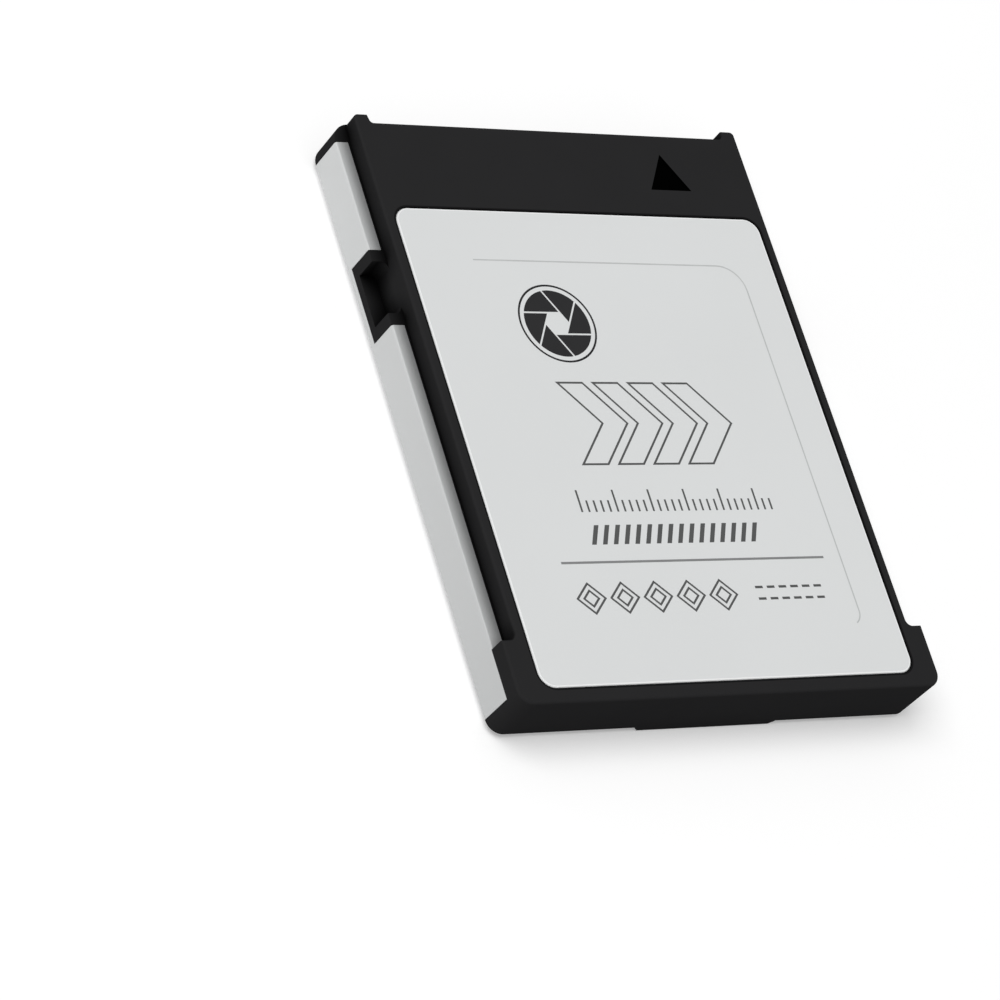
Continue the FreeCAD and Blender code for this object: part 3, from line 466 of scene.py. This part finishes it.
def repeat_tree():
    """The tree that lays copies of a shape along a step or round its origin, some of them drawn out."""
    name = "repeat_shape"
    if name in bpy.data.node_groups:
        return bpy.data.node_groups[name]
    tree = bpy.data.node_groups.new(name, "GeometryNodeTree")
    sockets = (
        ("Shape", "Geometry"),
        ("Count", "Int"),
        ("Step", "Vector"),
        ("Turn", "Vector"),
        ("Every", "Int"),
        ("Drawn out", "Vector"),
        ("Finish", "Material"),
    )
    for socket, kind in sockets:
        tree.interface.new_socket(socket, in_out="INPUT", socket_type=f"NodeSocket{kind}")
    tree.interface.new_socket("Shape", in_out="OUTPUT", socket_type="NodeSocketGeometry")
    given = add(tree, "NodeGroupInput").outputs
    index = add(tree, "GeometryNodeInputIndex").outputs[0]
    step = add(tree, "ShaderNodeVectorMath", {0: given["Step"], "Scale": index}, operation="SCALE")
    turn = add(tree, "ShaderNodeVectorMath", {0: given["Turn"], "Scale": index}, operation="SCALE")
    facing = add(tree, "FunctionNodeEulerToRotation", {0: turn.outputs[0]})
    points = add(tree, "GeometryNodePoints", {"Count": given["Count"], "Position": step.outputs[0]})
    chosen = calculate(tree, "LESS_THAN", calculate(tree, "MODULO", index, given["Every"]), 0.5)
    inputs = {"Factor": chosen, 4: (1.0, 1.0, 1.0), 5: given["Drawn out"]}
    size = add(tree, "ShaderNodeMix", inputs, data_type="VECTOR").outputs[1]
    copies = add(tree, "GeometryNodeInstanceOnPoints", {
        "Points": points.outputs[0],
        "Instance": given["Shape"],
        "Rotation": facing.outputs[0],
        "Scale": size,
    })
    real = add(tree, "GeometryNodeRealizeInstances", {0: copies.outputs[0]}).outputs[0]
    finished = add(tree, "GeometryNodeSetMaterial", {"Geometry": real, "Material": given["Finish"]})
    add(tree, "NodeGroupOutput", {0: finished.outputs[0]})
    return tree


def repeat(shape, finish, copies, step=(0.0, 0.0), turn=0.0, every=1, drawn_out=(1.0, 1.0)):
    """Turns a shape into a row or a ring of copies, as a plain mesh."""
    tree = repeat_tree()
    modifier = shape.modifiers.new("copies", "NODES")
    modifier.node_group = tree
    values = {
        "Count": copies,
        "Step": (*step, 0.0),
        "Turn": (0.0, 0.0, turn),
        "Every": every,
        "Drawn out": (*drawn_out, 1.0),
        "Finish": finish,
    }
    for item in tree.interface.items_tree:
        if item.in_out == "INPUT" and item.name in values:
            modifier[item.identifier] = values[item.name]
    evaluated = shape.evaluated_get(bpy.context.evaluated_depsgraph_get())
    shape.data = bpy.data.meshes.new_from_object(evaluated)
    shape.modifiers.clear()


def on_plate(across, above_tail):
    """The slot of the front plate and a place on it, from its middle and its edge at the tail."""
    corner = Matrix.Translation((0.0, PLATE_LOW.y, PLATE_HIGH.z))
    return "plate_aluminium", corner @ Matrix.Translation((across * MM, above_tail * MM, 0.0))


def on_back(across, above_tail):
    """The slot of the shell and a place on its back, as one sees it with the tail at the foot."""
    corner = Matrix.Translation((0.0, SHELL_LOW.y, SHELL_LOW.z)) @ Matrix.Rotation(math.pi, 4, "Y")
    return "shell_steel", corner @ Matrix.Translation((across * MM, above_tail * MM, 0.0))


def settle(shape, finish, place):
    """Lays a drawn shape on the metal and makes it ride on the card."""
    if not shape.data.materials:
        shape.data.materials.append(finish)
    slot, spot = place
    sunk = Matrix.Translation((0.0, 0.0, -0.5 * bpy.context.scene.card_print.thickness))
    shape.data.transform(spot @ sunk)
    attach(shape, BODY)


def print_lines(name, finish, place, outlines, closed=True, width=None, **copies):
    """Prints drawn lines, and repeats them where asked."""
    sizes = bpy.context.scene.card_print
    mesh = bmesh.new()
    for points in outlines:
        drawn_line(mesh, points, width or sizes.stroke, sizes.thickness, closed)
    shape = new_shape(name, mesh)
    if copies:
        repeat(shape, finish, **copies)
    settle(shape, finish, place)


def print_solid(name, finish, place, points, **copies):
    """Prints a filled outline, and repeats it where asked."""
    mesh = bmesh.new()
    slab(mesh, points, bpy.context.scene.card_print.thickness)
    shape = new_shape(name, mesh)
    if copies:
        repeat(shape, finish, **copies)
    settle(shape, finish, place)


def chevron(arm, height):
    """The outline of a chevron that points to the right, anticlockwise from its lower left corner."""
    point = 0.42 * height
    return [
        (0.0, 0.0),
        (arm, 0.0),
        (arm + point, height / 2),
        (arm, height),
        (0.0, height),
        (point, height / 2),
    ]


def diamond(size):
    """The outline of a square that stands on a corner."""
    return arc((0.0, 0.0), size / 2, 0.0, 1.5 * math.pi, 3)


def bar(width, height, slant=0.0):
    """The outline of an upright or slanted bar, anticlockwise from its lower left corner."""
    return [(0.0, 0.0), (width, 0.0), (width + slant, height), (slant, height)]


def iris_blade(radius, blades, gap):
    """One blade of a lens iris, from a corner of the hole to the outer circle."""
    hole = 0.40 * radius
    half_turn = math.pi / blades
    leading = Vector((-math.sin(half_turn), math.cos(half_turn)))
    trailing = Vector((math.sin(half_turn), math.cos(half_turn)))
    corner = Vector((hole, 0.0)) + leading * (gap / math.sin(2 * half_turn))

    def reach(way):
        """The angle at which a ray from the corner meets the outer circle."""
        along = corner.dot(way)
        end = corner + way * (math.sqrt(along ** 2 + radius ** 2 - corner.length_squared) - along)
        return math.atan2(end.y, end.x)

    return [tuple(corner)] + arc((0.0, 0.0), radius, reach(trailing), reach(leading), 12)


class CardOperator:
    """What the card's operators share."""

    bl_options = {"REGISTER", "UNDO"}


class DressFrame(CardOperator, bpy.types.Operator):
    """Gives the moulded frame its matt black"""

    bl_idname = "card.dress_frame"
    bl_label = "Moulded frame"

    def execute(self, context):
        dress(moulded_black(context.scene.card_finishes), "frame")
        return {"FINISHED"}


class DressMetal(CardOperator, bpy.types.Operator):
    """Gives the folded shell and the front plate their metal"""

    bl_idname = "card.dress_metal"
    bl_label = "Shell and plate"

    def execute(self, context):
        looks = context.scene.card_finishes
        dress(satin_shell(looks), "back_shell")
        dress(blasted_plate(looks), "front_plate")
        return {"FINISHED"}


class DressConnector(CardOperator, bpy.types.Operator):
    """Gives the connector's housing and contacts their finishes"""

    bl_idname = "card.dress_connector"
    bl_label = "Connector"

    def execute(self, context):
        looks = context.scene.card_finishes
        housing = grained("housing_black", looks.housing, 2.0 * MM, 0.06 * MM, 0.002 * MM, 0.5)[0]
        plated = grained("gold_plating", looks.contact, 0.8 * MM, 0.02 * MM, 0.0004 * MM, 0.28, 1.0)[0]
        dress(housing, "connector_housing")
        dress(plated, "connector_contacts")
        return {"FINISHED"}


class DressBoard(CardOperator, bpy.types.Operator):
    """Gives the circuit board and what it carries their finishes"""

    bl_idname = "card.dress_board"
    bl_label = "Circuit board"

    def execute(self, context):
        looks = context.scene.card_finishes
        dress(board_finish(looks), "circuit_board")
        dress(grained("mould_compound", looks.mould, 2.0 * MM, 0.07 * MM, 0.002 * MM, 0.6)[0], *CHIPS)
        dress(grained("ferrite", looks.ferrite, 0.6 * MM, 0.08 * MM, 0.004 * MM, 0.7)[0], "inductors")
        for finish, node, axis, shade in (
            ("bulk_ceramic", "bulk_capacitors", ACROSS, looks.ceramic),
            ("bypass_ceramic", "bypass_capacitors", ALONG, looks.ceramic),
            ("resistor_glaze", "resistors", ALONG, looks.resistor),
        ):
            dress(tinned_ends(finish, node, axis, shade, looks), node)
        dress(grained("lid", looks.lid, 0.7 * MM, 0.04 * MM, 0.0008 * MM, 0.35, 1.0)[0], "clock_crystal")
        return {"FINISHED"}


class DressFilms(CardOperator, bpy.types.Operator):
    """Gives the thermal pads, the insulating film and the adhesive their finishes"""

    bl_idname = "card.dress_films"
    bl_label = "Pads and films"

    def execute(self, context):
        looks = context.scene.card_finishes
        dress(grained("silicone", looks.silicone, 1.5 * MM, 0.12 * MM, 0.006 * MM, 0.8)[0], *THERMAL_PADS)
        dress(grained("amber_film", looks.film, 3.0 * MM, 0.3 * MM, 0.002 * MM, 0.3)[0], "insulating_film")
        dress(grained("black_tape", looks.tape, 2.0 * MM, 0.1 * MM, 0.003 * MM, 0.7)[0], "plate_adhesive")
        return {"FINISHED"}


class PrintIris(CardOperator, bpy.types.Operator):
    """Prints a lens iris in a ring on the front plate"""

    bl_idname = "card.print_iris"
    bl_label = "Iris"

    def execute(self, context):
        sizes = context.scene.card_print
        dark = ink("dark_ink", sizes.dark_ink)
        place = on_plate(-4.2, 23.4)
        blade = iris_blade(sizes.iris, sizes.blades, 0.11 * MM)
        turn = 2 * math.pi / sizes.blades
        print_solid("print_iris", dark, place, blade, copies=sizes.blades, turn=turn)
        ring = arc((0.0, 0.0), sizes.iris + 0.33 * MM, 0.0, 2 * math.pi, 64)[:-1]
        print_lines("print_iris_ring", dark, place, [ring])
        return {"FINISHED"}


class PrintChevrons(CardOperator, bpy.types.Operator):
    """Prints a row of large outlined chevrons on the front plate"""

    bl_idname = "card.print_chevrons"
    bl_label = "Chevrons"

    def execute(self, context):
        sizes = context.scene.card_print
        grey = ink("grey_ink", sizes.grey_ink)
        outline = chevron(sizes.chevron_arm, sizes.chevron_height)
        step = (sizes.chevron_arm + 0.75 * MM, 0.0)
        place = on_plate(-5.6, 14.0)
        print_lines("print_chevrons", grey, place, [outline], copies=sizes.chevrons, step=step)
        return {"FINISHED"}


class PrintRows(CardOperator, bpy.types.Operator):
    """Prints a row of ticks, a row of slanted bars and the rule under them"""

    bl_idname = "card.print_rows"
    bl_label = "Rows and rule"

    def execute(self, context):
        sizes = context.scene.card_print
        grey = ink("grey_ink", sizes.grey_ink)
        print_solid(
            "print_ticks", grey, on_plate(-6.8, 10.9), bar(sizes.stroke, 0.75 * MM),
            copies=sizes.ticks, step=(0.5 * MM, 0.0), every=5, drawn_out=(1.0, 1.9),
        )
        print_solid(
            "print_bars", grey, on_plate(-6.8, 8.8), bar(0.32 * MM, 1.25 * MM, 0.55 * MM),
            copies=sizes.bars, step=(0.75 * MM, 0.0),
        )
        rule = ink("rule_ink", sizes.rule_ink)
        print_solid("print_rule", rule, on_plate(-9.3, 7.6), bar(18.6 * MM, 0.15 * MM))
        return {"FINISHED"}


class PrintFoot(CardOperator, bpy.types.Operator):
    """Prints a row of outlined diamonds and two rows of dashes at the foot of the front plate"""

    bl_idname = "card.print_foot"
    bl_label = "Foot of the plate"

    def execute(self, context):
        grey = ink("grey_ink", context.scene.card_print.grey_ink)
        pair = [diamond(1.9 * MM), diamond(1.0 * MM)]
        place = on_plate(-8.0, 5.4)
        print_lines("print_diamonds", grey, place, pair, copies=5, step=(2.3 * MM, 0.0))
        dash = bar(0.55 * MM, 0.16 * MM)
        for name, above_tail in (("print_dashes_upper", 5.75), ("print_dashes_lower", 5.0)):
            print_solid(name, grey, on_plate(3.6, above_tail), dash, copies=6, step=(0.85 * MM, 0.0))
        return {"FINISHED"}


class PrintCorner(CardOperator, bpy.types.Operator):
    """Prints the faint line that runs round one corner of the front plate"""

    bl_idname = "card.print_corner"
    bl_label = "Corner line"

    def execute(self, context):
        sizes = context.scene.card_print
        faint = ink("faint_ink", sizes.faint_ink)
        left, right, foot, top = -8.7 * MM, 10.55 * MM, 4.1 * MM, 27.65 * MM
        radius, hook = sizes.corner_radius, 0.9 * MM
        path = [(left, top)]
        path += arc((right - radius, top - radius), radius, math.pi / 2, 0.0, 10)
        path += arc((right - hook, foot), hook, 0.0, -math.pi / 3, 6)
        place = on_plate(0.0, 0.0)
        print_lines("print_corner_line", faint, place, [path], closed=False, width=0.09 * MM)
        return {"FINISHED"}


class PrintBack(CardOperator, bpy.types.Operator):
    """Prints outlined chevrons, rows of ticks and dashes and a row of hexagons on the back"""

    bl_idname = "card.print_back"
    bl_label = "Back"

    def execute(self, context):
        sizes = context.scene.card_print
        grey = ink("grey_ink", sizes.grey_ink)
        outline = chevron(1.3 * MM, 3.2 * MM)
        place = on_back(-9.5, 29.0)
        print_lines("back_chevrons", grey, place, [outline], copies=6, step=(2.1 * MM, 0.0))
        tick = bar(sizes.stroke, 0.7 * MM)
        for name, above_tail, ticks in (("back_ticks_upper", 26.9, 36), ("back_ticks_lower", 25.0, 16)):
            print_solid(
                name, grey, on_back(-9.5, above_tail), tick,
                copies=ticks, step=(0.5 * MM, 0.0), every=5, drawn_out=(1.0, 1.7),
            )
        hexagon = arc((0.0, 0.0), 0.95 * MM, 0.0, 2 * math.pi, 6)[:-1]
        place = on_back(-8.5, 7.8)
        print_lines("back_hexagons", grey, place, [hexagon], copies=4, step=(2.4 * MM, 0.0))
        dash = bar(0.6 * MM, 0.16 * MM)
        for name, above_tail, dashes in (("back_dashes_upper", 5.4, 9), ("back_dashes_lower", 4.2, 14)):
            place = on_back(-9.4, above_tail)
            print_solid(name, grey, place, dash, copies=dashes, step=(0.95 * MM, 0.0))
        return {"FINISHED"}


def seen_directly(tree):
    """One for what the camera, a reflection or glass sees, and nothing for what lights the card."""
    path = add(tree, "ShaderNodeLightPath").outputs
    seen = calculate(tree, "MAXIMUM", path["Is Camera Ray"], path["Is Glossy Ray"])
    return calculate(tree, "MAXIMUM", seen, path["Is Transmission Ray"])


def build_floor(studio):
    """A pale floor that looks white and keeps the card's shadow."""
    mesh = bmesh.new()
    corners = [(-FLOOR_REACH, -FLOOR_REACH), (FLOOR_REACH, -FLOOR_REACH)]
    corners += [(FLOOR_REACH, FLOOR_REACH), (-FLOOR_REACH, FLOOR_REACH)]
    mesh.faces.new([mesh.verts.new((*corner, 0.0)) for corner in corners])
    floor = new_shape("floor", mesh)
    white, tree, shader, tone = grained(
        "pale_floor", studio.floor_shade, 40.0 * MM, 2.0 * MM, 0.01 * MM, 1.0, contrast=0.01
    )
    lift = calculate(tree, "MULTIPLY", seen_directly(tree), studio.floor)
    tree.links.new(lift, shader.inputs["Emission Strength"])
    shader.inputs["Emission Color"].default_value = (1.0, 1.0, 1.0, 1.0)
    shader.inputs["Specular IOR Level"].default_value = 0.0
    floor.data.materials.append(white)


def build_sky(studio):
    """White surroundings, plainer in the light that they give than in how they look."""
    world = bpy.data.worlds.new("studio_sky")
    world.use_nodes = True
    tree = world.node_tree
    inputs = {"Value": seen_directly(tree), "To Min": studio.sky, "To Max": 1.0}
    strength = add(tree, "ShaderNodeMapRange", inputs).outputs[0]
    background = tree.nodes["Background"]
    background.inputs["Color"].default_value = (1.0, 1.0, 1.0, 1.0)
    tree.links.new(strength, background.inputs["Strength"])
    bpy.context.scene.world = world


def build_key(studio):
    """One large soft lamp above and to the left of the card."""
    lamp = bpy.data.lights.new("key_lamp", "AREA")
    lamp.shape = "SQUARE"
    lamp.size = LAMP_SIDE
    lamp.energy = studio.key * math.pi ** 2 * LAMP_PLACE.length_squared / LAMP_PLACE.normalized().z
    holder = bpy.data.objects.new("key_lamp", lamp)
    holder.location = LAMP_PLACE
    holder.rotation_euler = (-LAMP_PLACE).to_track_quat("-Z", "Y").to_euler()
    holder.visible_glossy = False
    bpy.context.scene.collection.objects.link(holder)


def build_camera(studio):
    """The camera, set by where it looks, how far it stands off and how it is turned."""
    ahead = Vector((math.cos(studio.heading), math.sin(studio.heading), 0.0))
    view = ahead * math.cos(studio.pitch) - Vector((0.0, 0.0, math.sin(studio.pitch)))
    level = view.cross(Vector((0.0, 0.0, 1.0))).normalized()
    right = level * math.cos(studio.roll) + level.cross(view) * math.sin(studio.roll)
    facing = Matrix((right, right.cross(view), -view)).transposed().to_4x4()
    aim = Vector((studio.aim_across, studio.aim_along, FRAME_HIGH.z))
    data = bpy.data.cameras.new("view")
    data.lens = studio.lens
    data.clip_start = 0.01
    camera = bpy.data.objects.new("view", data)
    camera.matrix_world = Matrix.Translation(aim - view * studio.distance) @ facing
    bpy.context.scene.collection.objects.link(camera)
    bpy.context.scene.camera = camera


class BuildStudio(CardOperator, bpy.types.Operator):
    """Lays the pale floor and sets the surroundings, the lamp and the camera"""

    bl_idname = "card.build_studio"
    bl_label = "Studio"

    def execute(self, context):
        studio = context.scene.card_studio
        build_floor(studio)
        build_sky(studio)
        build_key(studio)
        build_camera(studio)
        context.scene.view_settings.view_transform = "Standard"
        return {"FINISHED"}


OPERATORS = (
    DressFrame,
    DressMetal,
    DressConnector,
    DressBoard,
    DressFilms,
    PrintIris,
    PrintChevrons,
    PrintRows,
    PrintFoot,
    PrintCorner,
    PrintBack,
    BuildStudio,
)
GROUPS = {"card_finishes": CardFinishes, "card_print": CardPrint, "card_studio": CardStudio}


class CardPanel(bpy.types.Panel):
    """The card's pieces and values in the sidebar."""

    bl_idname = "CARD_PT_studio"
    bl_label = "Memory card"
    bl_space_type = "VIEW_3D"
    bl_region_type = "UI"
    bl_category = "Memory card"

    def draw(self, context):
        for operator in OPERATORS:
            self.layout.operator(operator.bl_idname)
        for name, group in GROUPS.items():
            box = self.layout.box()
            for value in group.__annotations__:
                box.prop(getattr(context.scene, name), value)


def register():
    for name, group in GROUPS.items():
        bpy.utils.register_class(group)
        setattr(bpy.types.Scene, name, bpy.props.PointerProperty(type=group))
    for operator in OPERATORS:
        bpy.utils.register_class(operator)
    bpy.utils.register_class(CardPanel)


def unregister():
    bpy.utils.unregister_class(CardPanel)
    for operator in reversed(OPERATORS):
        bpy.utils.unregister_class(operator)
    for name, group in GROUPS.items():
        delattr(bpy.types.Scene, name)
        bpy.utils.unregister_class(group)


def main():
    """Builds the whole scene."""
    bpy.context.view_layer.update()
    register()
    for operator in OPERATORS:
        group, name = operator.bl_idname.split(".")
        getattr(getattr(bpy.ops, group), name)()


if __name__ == "__main__":
    main()
